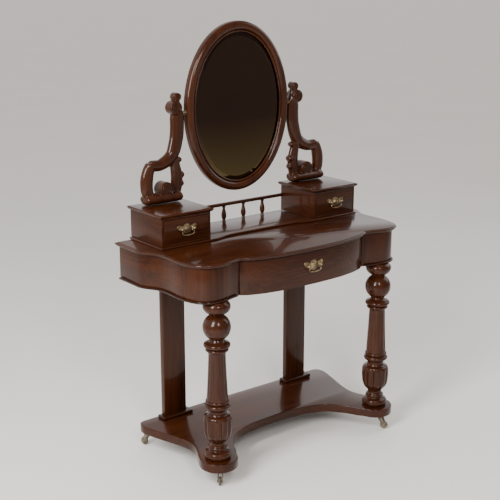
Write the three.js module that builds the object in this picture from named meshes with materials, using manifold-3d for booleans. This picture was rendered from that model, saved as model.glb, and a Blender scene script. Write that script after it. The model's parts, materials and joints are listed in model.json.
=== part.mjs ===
// A Victorian dressing table with a serpentine top, one bow-fronted drawer, two trinket boxes,
// a spindle gallery and an oval toilet mirror swung between two carved scroll brackets.
// Units are millimetres and +Z is up. Every piece is drawn with y = 0 at the trinket boxes' fronts
// and -y towards the user. At the end the whole table is moved so that the origin is on the floor,
// under the middle of its footprint.
import * as THREE from 'three';
import { mergeVertices } from 'three/addons/utils/BufferGeometryUtils.js';
import Module from 'manifold-3d';

const manifold = await Module();
manifold.setup();

// ---------------------------------------------------------------- driving dimensions
const GAP = 0.3; // air left where two pieces touch
const FOOTPRINT_MIDDLE_Y = -37.9; // middle of the footprint, measured from the boxes' fronts

// Heights above the floor
const PLINTH_BOTTOM = 58;
const PLINTH_TOP = 88;
const FRIEZE_BOTTOM = 631;
const TOP_BOTTOM = 746;
const TOP_SURFACE = 762;
const PLATFORM_TOP = 770;
const LID_BOTTOM = 866;
const LID_TOP = 878;
const MIRROR_AXIS = 1179;

// Table top: the edge stands out from the frieze and is rounded like a thumb
const TOP_ARRIS_OUT = 9;
const TOP_MOULDING_OUT = 6;
const OUTLINE_STEP = 12;

// Frieze under the top
const SIDE_X = 476;
const BACK_Y = 186;
const PANEL_THICKNESS = 22;
const NOTCH_X = 270;
const NOTCH_Y = -209;
const BLOCK_BACK_Y = -140; // where the side panel ends and the corner block begins
const BLOCK_BACK_X = 441.5;
const BOW_Y = -259; // middle of the bowed front
const BEAD_HEIGHT = 7;
const BEAD_OUT = 7;

// Legs
const FRONT_LEG = { x: 359, y: -206 };
const BACK_LEG = { x: 282, width: 92, front: 156, back: 178 };
const LOBE = { x: 357, y: -208, radius: 64, from: 22, to: -168 }; // the plinth's round front corners
const COLLAR = { out: 17, forward: 20, height: 12 };

// Trinket boxes on their platform
const BOX = { inner: 231, outer: 426, depth: 190, wall: 8, lidOut: 9 };
const DRAWER_PLAY = 0.8; // air round each drawer
const PLATFORM = { x: 432, front: -7, recess: 12, back: 192 };

// Gallery between the boxes
const GALLERY = { y: 178, railBottom: 825, railHeight: 12, railDepth: 13, spindles: 4, spacing: 87.8 };

// Oval mirror
const MIRROR = {
  y: 152, halfWidth: 222, halfHeight: 296, frameWidth: 38, frameFront: 137, frameBack: 165,
  rebateFront: 149, rebateOut: 6, glass: 5, bevel: 18, board: 6,
};
const OVAL_STEPS = 24; // points on a quarter of the oval, doubled
const PIVOT = { radius: 4, collarRadius: 9, inFrame: 17, inBracket: 17 };
const BRACKET_INNER_X = 226;
const BRACKET = {
  y: 157, thickness: 30, round: 9, baseFrom: 256, baseTo: 384, baseDepth: 60, baseHeight: 30, baseBulge: 9,
};

// Main drawer
// thickness is the bowed front's; its inside is hollowed between two flat ends, flatFrom the middle
const DRAWER = {
  halfWidth: 268.5, thickness: 24, flatFrom: 242, frontBack: -188, bottom: 640, top: 736, end: 148, side: 11,
};

// Handles: a cast plate with two posts, and a bail swinging in them
const HANDLE = { halfSpan: 25, postRadius: 4.5, postOut: 11, wire: 1.8, drop: 21, plate: 2.4 };

// Castors
const CASTOR = { wheelRadius: 15, wheelWidth: 11, trail: 18, axle: 2.4, cheek: 2.4 };
const CASTORS = {
  front_left: { x: -FRONT_LEG.x, y: -222, heading: -135 },
  front_right: { x: FRONT_LEG.x, y: -236, heading: -60 },
  back_left: { x: -396, y: 162, heading: 110 },
  back_right: { x: 396, y: 162, heading: 50 },
};

// ---------------------------------------------------------------- materials
const finish = (color, roughness, metalness) => new THREE.MeshStandardMaterial({ color, roughness, metalness });
const mahogany = finish(0x4a1c10, 0.25, 0);
const darkMahogany = finish(0x35130b, 0.3, 0);
const drawerLining = finish(0x9a6a3c, 0.7, 0);
const agedBrass = finish(0x9a7a3a, 0.35, 1);
const castorMetal = finish(0x6b6458, 0.45, 1);
const silveredGlass = finish(0xc8ccd0, 0.03, 1);

// ---------------------------------------------------------------- helpers
const table = new THREE.Group();
const SIDES = { left: -1, right: 1 };

function addPiece(name, geometry, material) {
  const mesh = new THREE.Mesh(geometry, material);
  mesh.name = name;
  table.add(mesh);
  return mesh;
}

// A closed geometry as a solid that can be cut and joined
function asSolid(geometry) {
  const bare = geometry.index ? geometry.toNonIndexed() : geometry.clone();
  bare.deleteAttribute('normal');
  bare.deleteAttribute('uv');
  const merged = mergeVertices(bare, 1e-4);
  const vertProperties = new Float32Array(merged.attributes.position.array);
  const triVerts = new Uint32Array(merged.index.array);
  return new manifold.Manifold(new manifold.Mesh({ numProp: 3, vertProperties, triVerts }));
}

function asGeometry(solid) {
  const mesh = solid.getMesh();
  const geometry = new THREE.BufferGeometry();
  geometry.setAttribute('position', new THREE.BufferAttribute(new Float32Array(mesh.vertProperties), 3));
  geometry.setIndex(new THREE.BufferAttribute(new Uint32Array(mesh.triVerts), 1));
  geometry.computeVertexNormals();
  return geometry;
}

function join(...geometries) {
  return asGeometry(geometries.map(asSolid).reduce((whole, solid) => whole.add(solid)));
}

function cut(geometry, ...tools) {
  return asGeometry(tools.map(asSolid).reduce((rest, tool) => rest.subtract(tool), asSolid(geometry)));
}

// A block between two opposite corners
function block([x0, y0, z0], [x1, y1, z1]) {
  const geometry = new THREE.BoxGeometry(x1 - x0, y1 - y0, z1 - z0);
  return geometry.translate((x0 + x1) / 2, (y0 + y1) / 2, (z0 + z1) / 2);
}

// A board cut to a plan outline, with square edges or an edge that bulges by `edge`
function board(points, bottom, top, edge = 0) {
  const rise = edge ? (top - bottom) / 2 : 0;
  const geometry = new THREE.ExtrudeGeometry(new THREE.Shape(points), {
    depth: edge ? 0.2 : top - bottom,
    bevelEnabled: edge > 0,
    bevelSize: edge,
    bevelThickness: rise - 0.1,
    bevelSegments: 2,
  });
  return geometry.translate(0, 0, edge ? bottom + rise - 0.1 : bottom);
}

// A plate cut to an outline drawn in x and z, standing between two y values
function plate(shape, front, back, round = 0, segments = 2, curveSegments = 8) {
  const geometry = new THREE.ExtrudeGeometry(shape, {
    depth: back - front - 2 * round,
    bevelEnabled: round > 0,
    bevelSize: round,
    bevelOffset: -round,
    bevelThickness: round,
    bevelSegments: segments,
    curveSegments,
  });
  return geometry.rotateX(Math.PI / 2).translate(0, back - round, 0);
}

// A turned piece on an upright axis, from [radius, height] pairs that go upwards
function turned(profile, around = 16) {
  const points = profile.map(([radius, height]) => new THREE.Vector2(radius, height));
  return new THREE.LatheGeometry(points, around).rotateX(Math.PI / 2);
}

// Points of a round bead on a turned profile, between two heights, standing out to `out` from `root`
function bead(root, out, low, high, steps = 5) {
  const points = [];
  for (let i = 0; i <= steps; i += 1) {
    const angle = (Math.PI * i) / steps;
    const height = (low + high) / 2 - ((high - low) / 2) * Math.cos(angle);
    points.push([root + (out - root) * Math.sin(angle), height]);
  }
  return points;
}

function ellipse(halfWidth, halfHeight, centreZ) {
  const shape = new THREE.Shape();
  shape.absellipse(0, centreZ, halfWidth, halfHeight, 0, 2 * Math.PI, false, 0);
  return shape;
}

const mirrored = (points) => points.map((p) => new THREE.Vector2(-p.x, p.y)).reverse();
const onSide = (points, side) => (side < 0 ? mirrored(points) : points);

// ---------------------------------------------------------------- serpentine outline of the frieze
// The right side runs from the back to the notch beside the drawer, then the bow crosses to the left.
function serpentineSide() {
  const path = new THREE.Path();
  path.moveTo(SIDE_X, BACK_Y);
  path.lineTo(SIDE_X, 72);
  path.bezierCurveTo(SIDE_X, 30, 446, 20, 441, -24);
  path.splineThru([
    [440, -58], [442, -92], [443, -120], [440, -155], [430, -190], [416, -211], [396, -224], [366, -229],
    [332, -224], [298, -214], [NOTCH_X, NOTCH_Y],
  ].map(([x, y]) => new THREE.Vector2(x, y)));
  return path.getSpacedPoints(Math.round(path.getLength() / OUTLINE_STEP));
}

function bowFront() {
  const half = [
    [NOTCH_X, NOTCH_Y], [252, -222], [232, -231], [204, -240], [172, -247], [128, -254], [60, -258],
  ];
  const right = half.map(([x, y]) => new THREE.Vector2(x, y));
  const curve = new THREE.SplineCurve([...right, new THREE.Vector2(0, BOW_Y), ...mirrored(right)]);
  return curve.getSpacedPoints(Math.round(curve.getLength() / OUTLINE_STEP));
}

// Moves a stretch of outline outwards (to the left of its direction)
function offset(points, distance) {
  return points.map((point, i) => {
    const before = points[Math.max(i - 1, 0)];
    const after = points[Math.min(i + 1, points.length - 1)];
    const along = after.clone().sub(before).normalize();
    return new THREE.Vector2(point.x - distance * along.y, point.y + distance * along.x);
  });
}

// The point where line a-b crosses line c-d, or null if `within` is set and it lies off either one
function crossing(a, b, c, d, within) {
  const ab = b.clone().sub(a);
  const cd = d.clone().sub(c);
  const turn = ab.cross(cd);
  const ac = c.clone().sub(a);
  const along = ac.cross(cd) / turn;
  const across = ac.cross(ab) / turn;
  const inside = along >= 0 && along <= 1 && across >= 0 && across <= 1;
  return within && !inside ? null : a.clone().addScaledVector(ab, along);
}

// Joins two stretches: trimmed where they cross, or run on to a sharp corner where they don't
function meet(first, second) {
  for (let i = first.length - 1; i > 0; i -= 1) {
    for (let j = 0; j < second.length - 1; j += 1) {
      const corner = crossing(first[i - 1], first[i], second[j], second[j + 1], true);
      if (corner) return [...first.slice(0, i), corner, ...second.slice(j + 1)];
    }
  }
  const corner = crossing(first.at(-2), first.at(-1), second[1], second[0], false);
  return [...first.slice(0, -1), corner, ...second.slice(1)];
}

const sideLine = serpentineSide();
const bowLine = bowFront();

function friezeOutline(distance) {
  const right = offset(sideLine, distance);
  const left = offset(mirrored(sideLine), distance);
  return meet(meet(right, offset(bowLine, distance)), left);
}

// ---------------------------------------------------------------- top and frieze
addPiece('table_top', board(friezeOutline(TOP_ARRIS_OUT), TOP_BOTTOM, TOP_SURFACE, TOP_MOULDING_OUT), mahogany);

const panelLine = sideLine.filter((p) => p.y > BLOCK_BACK_Y + 4);
const lobeLine = sideLine.filter((p) => p.y < BLOCK_BACK_Y - 4);
const friezeTop = TOP_BOTTOM - GAP;

// The serpentine side panel: its face and, one thickness inside, its back
function sidePanelOutline() {
  const face = [...panelLine, new THREE.Vector2(BLOCK_BACK_X, BLOCK_BACK_Y + GAP)];
  return [...face, ...offset(face, -PANEL_THICKNESS).reverse()];
}

// The solid corner block that the front leg is dowelled into
function cornerBlockOutline() {
  const inner = NOTCH_X + GAP;
  const face = [new THREE.Vector2(BLOCK_BACK_X, BLOCK_BACK_Y), ...lobeLine.filter((p) => p.x > inner + 1)];
  return [...face, new THREE.Vector2(inner, NOTCH_Y), new THREE.Vector2(inner, BLOCK_BACK_Y)];
}

function beadOutline() {
  const line = sideLine.filter((p) => p.x > NOTCH_X + 1);
  return [...offset(line, BEAD_OUT), ...offset(line, GAP).reverse()];
}

for (const [hand, side] of Object.entries(SIDES)) {
  addPiece(`side_panel_${hand}`, board(onSide(sidePanelOutline(), side), FRIEZE_BOTTOM, friezeTop), mahogany);
  const cornerBlock = board(onSide(cornerBlockOutline(), side), FRIEZE_BOTTOM, friezeTop);
  addPiece(`corner_block_${hand}`, cornerBlock, mahogany);
  const beadTop = FRIEZE_BOTTOM + BEAD_HEIGHT;
  addPiece(`bottom_bead_${hand}`, board(onSide(beadOutline(), side), FRIEZE_BOTTOM, beadTop), darkMahogany);
}

const backRailX = SIDE_X - PANEL_THICKNESS - GAP;
addPiece('back_rail', block([-backRailX, 166, 640], [backRailX, BACK_Y, friezeTop]), darkMahogany);

// The runners that carry the drawer, tied together at the back
const RUNNER = { opening: 245, height: 7, back: 154, tie: 22 };
const runnerTop = DRAWER.bottom - DRAWER_PLAY;
const runnerFrame = cut(
  block(
    [-DRAWER.halfWidth, DRAWER.frontBack + 2, runnerTop - RUNNER.height],
    [DRAWER.halfWidth, RUNNER.back, runnerTop],
  ),
  block(
    [-RUNNER.opening, DRAWER.frontBack - 20, runnerTop - 10],
    [RUNNER.opening, RUNNER.back - RUNNER.tie, runnerTop + 10],
  ),
);
addPiece('drawer_runner_frame', runnerFrame, drawerLining);

// ---------------------------------------------------------------- legs and plinth
// Front leg from the floor of the plinth up: base, vase with its neck, column, ring, ball and bun
const LEG_PROFILE = [
  [0, PLINTH_TOP + GAP],
  ...bead(39, 45, PLINTH_TOP + GAP, 113),
  [34, 115], [28, 118.5],
  ...bead(28, 32, 120, 132, 4),
  [27, 136], [25, 143], [29, 150], [39, 162], [46, 182], [48, 205], [48, 222], [46, 234], [43, 240],
  [33, 243], [30, 250], [31, 261],
  ...bead(35, 43, 265, 281, 4),
  ...bead(36, 39, 283, 293, 4),
  [35.5, 302], [31.7, 370], [28.6, 458],
  ...bead(34, 38, 462, 472, 4),
  ...bead(38, 44, 476, 490, 4),
  [31, 493], [27, 498],
];
const BALL = { radius: 46, height: 543 };
for (let angle = -60; angle <= 60; angle += 20) {
  const radians = THREE.MathUtils.degToRad(angle);
  LEG_PROFILE.push([BALL.radius * Math.cos(radians), BALL.height + BALL.radius * Math.sin(radians)]);
}
LEG_PROFILE.push([25, 587], [31, 591], [41, 600], [45.5, 611], [44, 620], [39, 627]);
LEG_PROFILE.push([35, FRIEZE_BOTTOM - GAP], [0, FRIEZE_BOTTOM - GAP]);

for (const [hand, side] of Object.entries(SIDES)) {
  const leg = addPiece(`front_leg_${hand}`, turned(LEG_PROFILE), mahogany);
  leg.position.set(side * FRONT_LEG.x, FRONT_LEG.y, 0);

  const half = BACK_LEG.width / 2;
  const post = block([-half, BACK_LEG.front, PLINTH_TOP + GAP], [half, BACK_LEG.back, 640 - GAP]);
  addPiece(`back_leg_${hand}`, post, mahogany).position.x = side * BACK_LEG.x;

  // Moulding round the foot of the flat leg, on three sides
  const foot = new THREE.Shape([
    new THREE.Vector2(-half - COLLAR.out, BACK_LEG.back),
    new THREE.Vector2(-half - COLLAR.out, BACK_LEG.front - COLLAR.forward),
    new THREE.Vector2(half + COLLAR.out, BACK_LEG.front - COLLAR.forward),
    new THREE.Vector2(half + COLLAR.out, BACK_LEG.back),
    new THREE.Vector2(half + GAP, BACK_LEG.back),
    new THREE.Vector2(half + GAP, BACK_LEG.front - GAP),
    new THREE.Vector2(-half - GAP, BACK_LEG.front - GAP),
    new THREE.Vector2(-half - GAP, BACK_LEG.back),
  ]);
  const collar = new THREE.ExtrudeGeometry(foot, { depth: COLLAR.height, bevelEnabled: false });
  collar.translate(0, 0, PLINTH_TOP + GAP);
  addPiece(`leg_collar_${hand}`, collar, darkMahogany).position.x = side * BACK_LEG.x;
}

// The shaped shelf that ties the four feet: hollow sides, a deeply hollow front and round front lobes
function plinthOutline() {
  const half = new THREE.Path();
  half.moveTo(398, 188);
  half.bezierCurveTo(416, 188, 428, 176, 424, 140);
  half.splineThru([
    [413, 98], [398, 50], [384, 6], [374, -35], [371, -72], [379, -108], [395, -140], [411, -170],
  ].map(([x, y]) => new THREE.Vector2(x, y)));
  const [from, to] = [LOBE.from, LOBE.to].map((angle) => THREE.MathUtils.degToRad(angle));
  half.absarc(LOBE.x, LOBE.y, LOBE.radius, from, to, true);
  half.splineThru([
    [281, -204], [265, -172], [246, -144], [220, -114], [190, -94], [150, -79], [105, -70], [55, -66], [0, -64],
  ].map(([x, y]) => new THREE.Vector2(x, y)));
  const points = half.getSpacedPoints(Math.round(half.getLength() / OUTLINE_STEP));
  return [...points, ...mirrored(points).slice(1)];
}
addPiece('plinth_shelf', board(plinthOutline(), PLINTH_BOTTOM, PLINTH_TOP), mahogany);

// ---------------------------------------------------------------- platform, boxes and gallery
function platformOutline() {
  const front = new THREE.Path();
  front.moveTo(PLATFORM.x, PLATFORM.back);
  front.lineTo(PLATFORM.x, PLATFORM.front);
  front.lineTo(BOX.inner - 6, PLATFORM.front);
  front.bezierCurveTo(190, PLATFORM.front, 180, PLATFORM.recess, 120, PLATFORM.recess);
  front.lineTo(0, PLATFORM.recess);
  const points = front.getPoints(8);
  return [...points, ...mirrored(points).slice(1)];
}
const platformBottom = TOP_SURFACE + GAP;
addPiece('platform_board', board(platformOutline(), platformBottom, PLATFORM_TOP), mahogany);

const SMALL_FRONT = { thickness: 16, bottom: 779, top: LID_BOTTOM - BOX.wall - DRAWER_PLAY };
const boxMiddle = (BOX.inner + BOX.outer) / 2;
const boxHalf = (BOX.outer - BOX.inner) / 2;
const boxBottom = PLATFORM_TOP + GAP;
const boxTop = LID_BOTTOM - GAP;
const cavityHalf = boxHalf - BOX.wall;
const drawerHalf = cavityHalf - DRAWER_PLAY;

function boxCase() {
  const cavityTop = LID_BOTTOM - BOX.wall;
  return cut(
    block([-boxHalf, 0, boxBottom], [boxHalf, BOX.depth, boxTop]),
    block([-cavityHalf, -20, SMALL_FRONT.bottom - DRAWER_PLAY], [cavityHalf, BOX.depth - BOX.wall, cavityTop]),
  );
}

function boxLid() {
  const x = boxHalf + 3;
  const corners = [[-x, -3], [x, -3], [x, BOX.depth + 3], [-x, BOX.depth + 3]];
  const lidEdge = BOX.lidOut - 3;
  return board(corners.map(([a, b]) => new THREE.Vector2(a, b)), LID_BOTTOM, LID_TOP, lidEdge);
}

// A small drawer's lining: a tray that is open at the top
function smallTray() {
  const front = SMALL_FRONT.thickness + GAP;
  const back = BOX.depth - BOX.wall - 4;
  const wall = 6;
  const top = SMALL_FRONT.top - 8;
  return cut(
    block([-drawerHalf, front, SMALL_FRONT.bottom], [drawerHalf, back, top]),
    block(
      [-drawerHalf + wall, front + wall, SMALL_FRONT.bottom + 5],
      [drawerHalf - wall, back - wall, top + 10],
    ),
  );
}

for (const [hand, side] of Object.entries(SIDES)) {
  const middle = side * boxMiddle;
  addPiece(`box_case_${hand}`, boxCase(), mahogany).position.x = middle;
  addPiece(`box_lid_${hand}`, boxLid(), mahogany).position.x = middle;
  const frontBoard = block(
    [-drawerHalf, 0, SMALL_FRONT.bottom],
    [drawerHalf, SMALL_FRONT.thickness, SMALL_FRONT.top],
  );
  addPiece(`${hand}_drawer_front`, frontBoard, mahogany).position.x = middle;
  addPiece(`${hand}_drawer_tray`, smallTray(), drawerLining).position.x = middle;
}

const railHalf = BOX.inner - GAP;
const railBack = GALLERY.y + GALLERY.railDepth / 2;
const gallery = block(
  [-railHalf, GALLERY.y - GALLERY.railDepth / 2, GALLERY.railBottom],
  [railHalf, railBack, GALLERY.railBottom + GALLERY.railHeight],
);
addPiece('gallery_rail', gallery, mahogany);

// Vase-shaped spindle, thickest a third of the way up
const spindleFoot = PLATFORM_TOP + GAP;
const SPINDLE_PROFILE = [
  [0, spindleFoot], [7, spindleFoot], [7, 773], [5.5, 776], [8.4, 782], [9.4, 790], [8.4, 799], [6.2, 808],
  [4.8, 815], [5.2, 819], [7, 822], [7, GALLERY.railBottom - GAP], [0, GALLERY.railBottom - GAP],
];
for (let i = 1; i <= GALLERY.spindles; i += 1) {
  const spindle = addPiece(`spindle_${i}`, turned(SPINDLE_PROFILE, 10), mahogany);
  spindle.position.set((i - (GALLERY.spindles + 1) / 2) * GALLERY.spacing, GALLERY.y, 0);
}

// ---------------------------------------------------------------- main drawer
// The bowed front is bent from thick board, so its back is bowed too, with flat ends for the sides
const frontLine = bowLine.filter((p) => Math.abs(p.x) < DRAWER.halfWidth - 1);
const inHollow = (p) => Math.abs(p.x) < DRAWER.flatFrom - 2;
const bowBack = offset(bowLine, -DRAWER.thickness).filter((p) => inHollow(p) && p.y < DRAWER.frontBack);
const drawerFrontOutline = [
  ...frontLine,
  new THREE.Vector2(-DRAWER.halfWidth, NOTCH_Y),
  new THREE.Vector2(-DRAWER.halfWidth, DRAWER.frontBack),
  new THREE.Vector2(-DRAWER.flatFrom, DRAWER.frontBack),
  ...[...bowBack].reverse(),
  new THREE.Vector2(DRAWER.flatFrom, DRAWER.frontBack),
  new THREE.Vector2(DRAWER.halfWidth, DRAWER.frontBack),
  new THREE.Vector2(DRAWER.halfWidth, NOTCH_Y),
];
addPiece('main_drawer_front', board(drawerFrontOutline, FRIEZE_BOTTOM, TOP_BOTTOM - 1.5), mahogany);

const sideFront = DRAWER.frontBack + GAP;
const sideOuter = DRAWER.halfWidth - 2;
const sideInner = sideOuter - DRAWER.side;
for (const [hand, side] of Object.entries(SIDES)) {
  const lining = block([-DRAWER.side / 2, sideFront, DRAWER.bottom], [DRAWER.side / 2, DRAWER.end, DRAWER.top]);
  const middle = side * (sideOuter - DRAWER.side / 2);
  addPiece(`main_drawer_side_${hand}`, lining, drawerLining).position.x = middle;
}
const betweenSides = sideInner - GAP;
const drawerBack = block(
  [-betweenSides, DRAWER.end - DRAWER.side, DRAWER.bottom + 12],
  [betweenSides, DRAWER.end, DRAWER.top - 8],
);
addPiece('main_drawer_back', drawerBack, drawerLining);
// The bottom board follows the bowed front
const bottomLine = offset(bowLine, -DRAWER.thickness - GAP);
const bottomFront = bottomLine.filter((p) => inHollow(p) && p.y < sideFront);
const drawerBottom = board([
  new THREE.Vector2(betweenSides, DRAWER.end),
  new THREE.Vector2(betweenSides, sideFront),
  new THREE.Vector2(DRAWER.flatFrom - GAP, sideFront),
  ...bottomFront,
  new THREE.Vector2(GAP - DRAWER.flatFrom, sideFront),
  new THREE.Vector2(-betweenSides, sideFront),
  new THREE.Vector2(-betweenSides, DRAWER.end),
], DRAWER.bottom + 4, DRAWER.bottom + 12 - GAP);
addPiece('main_drawer_bottom', drawerBottom, drawerLining);

// ---------------------------------------------------------------- handles
// Plate outline: a round middle with two wings that end in small scrolls
function handlePlateShape(scale) {
  const half = [[0, 17], [9, 14], [14, 8], [22, 10], [30, 13], [37, 11], [38, 4], [33, 0], [26, -5], [17, -7]];
  const right = [...half, [11, -13], [0, -16]].map(([x, z]) => new THREE.Vector2(x * scale, z * scale));
  const shape = new THREE.Shape();
  shape.moveTo(right[0].x, right[0].y);
  shape.splineThru(right.slice(1));
  shape.splineThru(mirrored(right).slice(1, -1));
  return shape;
}

function handlePlate(scale) {
  const { halfSpan, postRadius, postOut, wire } = HANDLE;
  const back = plate(handlePlateShape(scale), -HANDLE.plate, 0, 0, 2, 2);
  const dome = [[0, 0], [10, 0], [9.5, 3], [7, 6.5], [3.5, 8.2], [0, 8.8]].map(([r, out]) => [r * scale, out]);
  const boss = turned(dome, 12).rotateX(Math.PI / 2);
  const parts = [back, boss];
  for (const side of [-1, 1]) {
    const x = side * halfSpan * scale;
    const stalk = new THREE.CylinderGeometry(3, 3, postOut, 8).translate(x, -postOut / 2 - 0.5, 0);
    const head = new THREE.SphereGeometry(postRadius, 8, 6).translate(x, -postOut, 0);
    parts.push(stalk, head);
  }
  const bore = new THREE.CylinderGeometry(wire + 0.3, wire + 0.3, 4 * halfSpan, 8).rotateZ(Math.PI / 2);
  return cut(join(...parts), bore.translate(0, -postOut, 0));
}

// The swan-necked bail, hanging: its ends turn in the posts' bores
function bail(scale) {
  const { halfSpan, postOut, wire, drop } = HANDLE;
  const x = halfSpan * scale;
  const knuckle = [[x + 1, 0], [x - 4, 0], [x - 8, -1.5]];
  const neck = [[x - 8.5, -5.5], [x - 3, -9], [x - 1, -13.5], [x - 7, -18.5]];
  const right = [...knuckle, ...neck, [8, -drop + 1]].map(([a, b]) => new THREE.Vector3(a, -postOut, b));
  const left = right.map((p) => new THREE.Vector3(-p.x, p.y, p.z)).reverse();
  const path = new THREE.CatmullRomCurve3([...right, new THREE.Vector3(0, -postOut, -drop), ...left]);
  const section = new THREE.Shape();
  section.absarc(0, 0, wire, 0, 2 * Math.PI, false);
  return new THREE.ExtrudeGeometry(section, { steps: 30, extrudePath: path, curveSegments: 3 });
}

const HANDLES = {
  main: { x: 0, y: BOW_Y - GAP, z: 698, scale: 1.08 },
  left: { x: -boxMiddle, y: -0.3, z: 822, scale: 1 },
  right: { x: boxMiddle, y: -0.3, z: 822, scale: 1 },
};
for (const [name, { x, y, z, scale }] of Object.entries(HANDLES)) {
  addPiece(`${name}_handle_plate`, handlePlate(scale), agedBrass).position.set(x, y, z);
  addPiece(`${name}_handle_bail`, bail(scale), agedBrass).position.set(x, y, z);
}

// ---------------------------------------------------------------- scroll brackets
// The bracket is a big C from its base to the knee, then an S-shaped arm up to two small scrolls
function bracketShape(side) {
  const outer = [
    [383, 900], [396, 914], [403, 934], [404, 955], [401, 975], [393, 997], [382, 1018], [370, 1034],
    [356, 1029], [338, 1028], [320, 1033], [303, 1044], [290, 1059],
    [282, 1077], [276, 1102], [273, 1130], [273, 1158],
    [279, 1182], [281, 1198], [275, 1212], [270, 1219], [272, 1236], [266, 1245], [257, 1248], [247, 1244],
    [243, 1234], [241, 1220], [235, 1205], [229, 1190], [BRACKET_INNER_X, 1170], [BRACKET_INNER_X, 1140],
    [228, 1105], [233, 1075], [239, 1050], [242, 1036], [234, 1030], [231, 1019], [236, 1009], [244, 1002],
    [239, 985], [232, 970], [236, 957], [234, 943], [236, 928], [244, 915], [254, 900],
  ];
  return new THREE.Shape(outer.map(([x, z]) => new THREE.Vector2(side * x, z)));
}

// The opening between the big C, the volute and the leaf
function bracketOpening(side) {
  const edge = [
    [356, 952], [355, 972], [347, 989], [330, 989], [310, 991], [296, 996], [287, 989], [281, 970], [277, 950],
    [290, 953], [308, 956], [326, 953], [342, 945],
  ];
  return new THREE.Shape(edge.map(([x, z]) => new THREE.Vector2(side * x, z)));
}

function bracket(side) {
  const { y, thickness, round, baseFrom, baseTo, baseDepth, baseHeight, baseBulge } = BRACKET;
  const front = y - thickness / 2;
  const back = y + thickness / 2;
  const scrollBody = plate(bracketShape(side), front, back, round, 2);
  const opening = plate(bracketOpening(side), front - 20, back + 20);
  const volute = new THREE.CylinderGeometry(29, 29, thickness + 8, 20).translate(side * 306, y, 921);
  const baseBottom = LID_TOP + GAP;
  const baseShape = new THREE.Shape();
  const baseTop = baseBottom + baseHeight;
  baseShape.moveTo(side * baseFrom, baseBottom);
  const innerEnd = side * (baseFrom - baseBulge);
  const outerEnd = side * (baseTo + baseBulge);
  baseShape.bezierCurveTo(innerEnd, baseBottom + 6, innerEnd, baseTop - 6, side * baseFrom, baseTop);
  baseShape.lineTo(side * baseTo, baseTop);
  baseShape.bezierCurveTo(outerEnd, baseTop - 6, outerEnd, baseBottom + 6, side * baseTo, baseBottom);
  const base = plate(baseShape, y - baseDepth / 2, y + baseDepth / 2, 5, 1);
  const bore = PIVOT.radius + GAP;
  const hole = new THREE.CylinderGeometry(bore, bore, 2 * (PIVOT.inBracket + GAP), 16);
  hole.rotateZ(Math.PI / 2).translate(side * BRACKET_INNER_X, MIRROR.y, MIRROR_AXIS);
  return cut(cut(join(scrollBody, base, volute), opening), hole);
}

for (const [hand, side] of Object.entries(SIDES)) {
  addPiece(`mirror_bracket_${hand}`, bracket(side), mahogany);
}

// ---------------------------------------------------------------- mirror
function mirrorOval(inset, front, back, round = 0) {
  const oval = ellipse(MIRROR.halfWidth - inset, MIRROR.halfHeight - inset, MIRROR_AXIS);
  return plate(new THREE.Shape(oval.getPoints(OVAL_STEPS).slice(0, -1)), front, back, round);
}

function mirrorFrame() {
  const { frameFront, frameBack, frameWidth, rebateFront, rebateOut } = MIRROR;
  const outside = ellipse(MIRROR.halfWidth, MIRROR.halfHeight, MIRROR_AXIS);
  const ring = new THREE.Shape(outside.getPoints(OVAL_STEPS).slice(0, -1));
  const sight = ellipse(MIRROR.halfWidth - frameWidth, MIRROR.halfHeight - frameWidth, MIRROR_AXIS);
  ring.holes.push(new THREE.Path(sight.getPoints(OVAL_STEPS).slice(0, -1)));
  const roll = plate(ring, frameFront, frameBack, 9);
  const rebate = mirrorOval(frameWidth - rebateOut, rebateFront, frameBack + 10);
  const bore = PIVOT.radius + GAP;
  const socket = new THREE.CylinderGeometry(bore, bore, 2 * (PIVOT.inFrame + GAP), 16);
  socket.rotateZ(Math.PI / 2).translate(0, MIRROR.y, MIRROR_AXIS);
  const sockets = [-1, 1].map((side) => socket.clone().translate(side * MIRROR.halfWidth, 0, 0));
  return cut(roll, rebate, ...sockets);
}
addPiece('mirror_frame', mirrorFrame(), mahogany);

// Bevelled plate: full thickness in the middle, thinner at the rim
function mirrorGlass() {
  const inset = MIRROR.frameWidth - MIRROR.rebateOut + 1;
  const halfWidth = MIRROR.halfWidth - inset;
  const halfHeight = MIRROR.halfHeight - inset;
  const flat = 1 - MIRROR.bevel / halfWidth;
  const profile = [[0, 0], [1, 0], [1, 3], [flat, MIRROR.glass], [0, MIRROR.glass]];
  const points = profile.map(([radius, height]) => new THREE.Vector2(radius, height));
  const glass = new THREE.LatheGeometry(points, 2 * OVAL_STEPS).scale(halfWidth, 1, halfHeight);
  glass.rotateX(Math.PI).translate(0, MIRROR.rebateFront + GAP + MIRROR.glass, MIRROR_AXIS);
  return glass;
}
addPiece('mirror_glass', mirrorGlass(), silveredGlass);

const boardFront = MIRROR.rebateFront + MIRROR.glass + 2 * GAP;
const boardInset = MIRROR.frameWidth - MIRROR.rebateOut + 1;
addPiece('mirror_back_board', mirrorOval(boardInset, boardFront, boardFront + MIRROR.board), drawerLining);

// Brass pivot with a collar between frame and bracket
const frameEnd = MIRROR.halfWidth - PIVOT.inFrame;
const collarStart = MIRROR.halfWidth + GAP;
const collarEnd = BRACKET_INNER_X - GAP;
const PIVOT_PROFILE = [
  [0, frameEnd], [PIVOT.radius, frameEnd], [PIVOT.radius, collarStart], [PIVOT.collarRadius, collarStart],
  [PIVOT.collarRadius, collarEnd], [PIVOT.radius, collarEnd], [PIVOT.radius, BRACKET_INNER_X + PIVOT.inBracket],
  [0, BRACKET_INNER_X + PIVOT.inBracket],
];
for (const [hand, side] of Object.entries(SIDES)) {
  const pivot = turned(PIVOT_PROFILE, 12).rotateY((side * Math.PI) / 2);
  addPiece(`mirror_pivot_${hand}`, pivot, agedBrass).position.set(0, MIRROR.y, MIRROR_AXIS);
}

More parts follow.
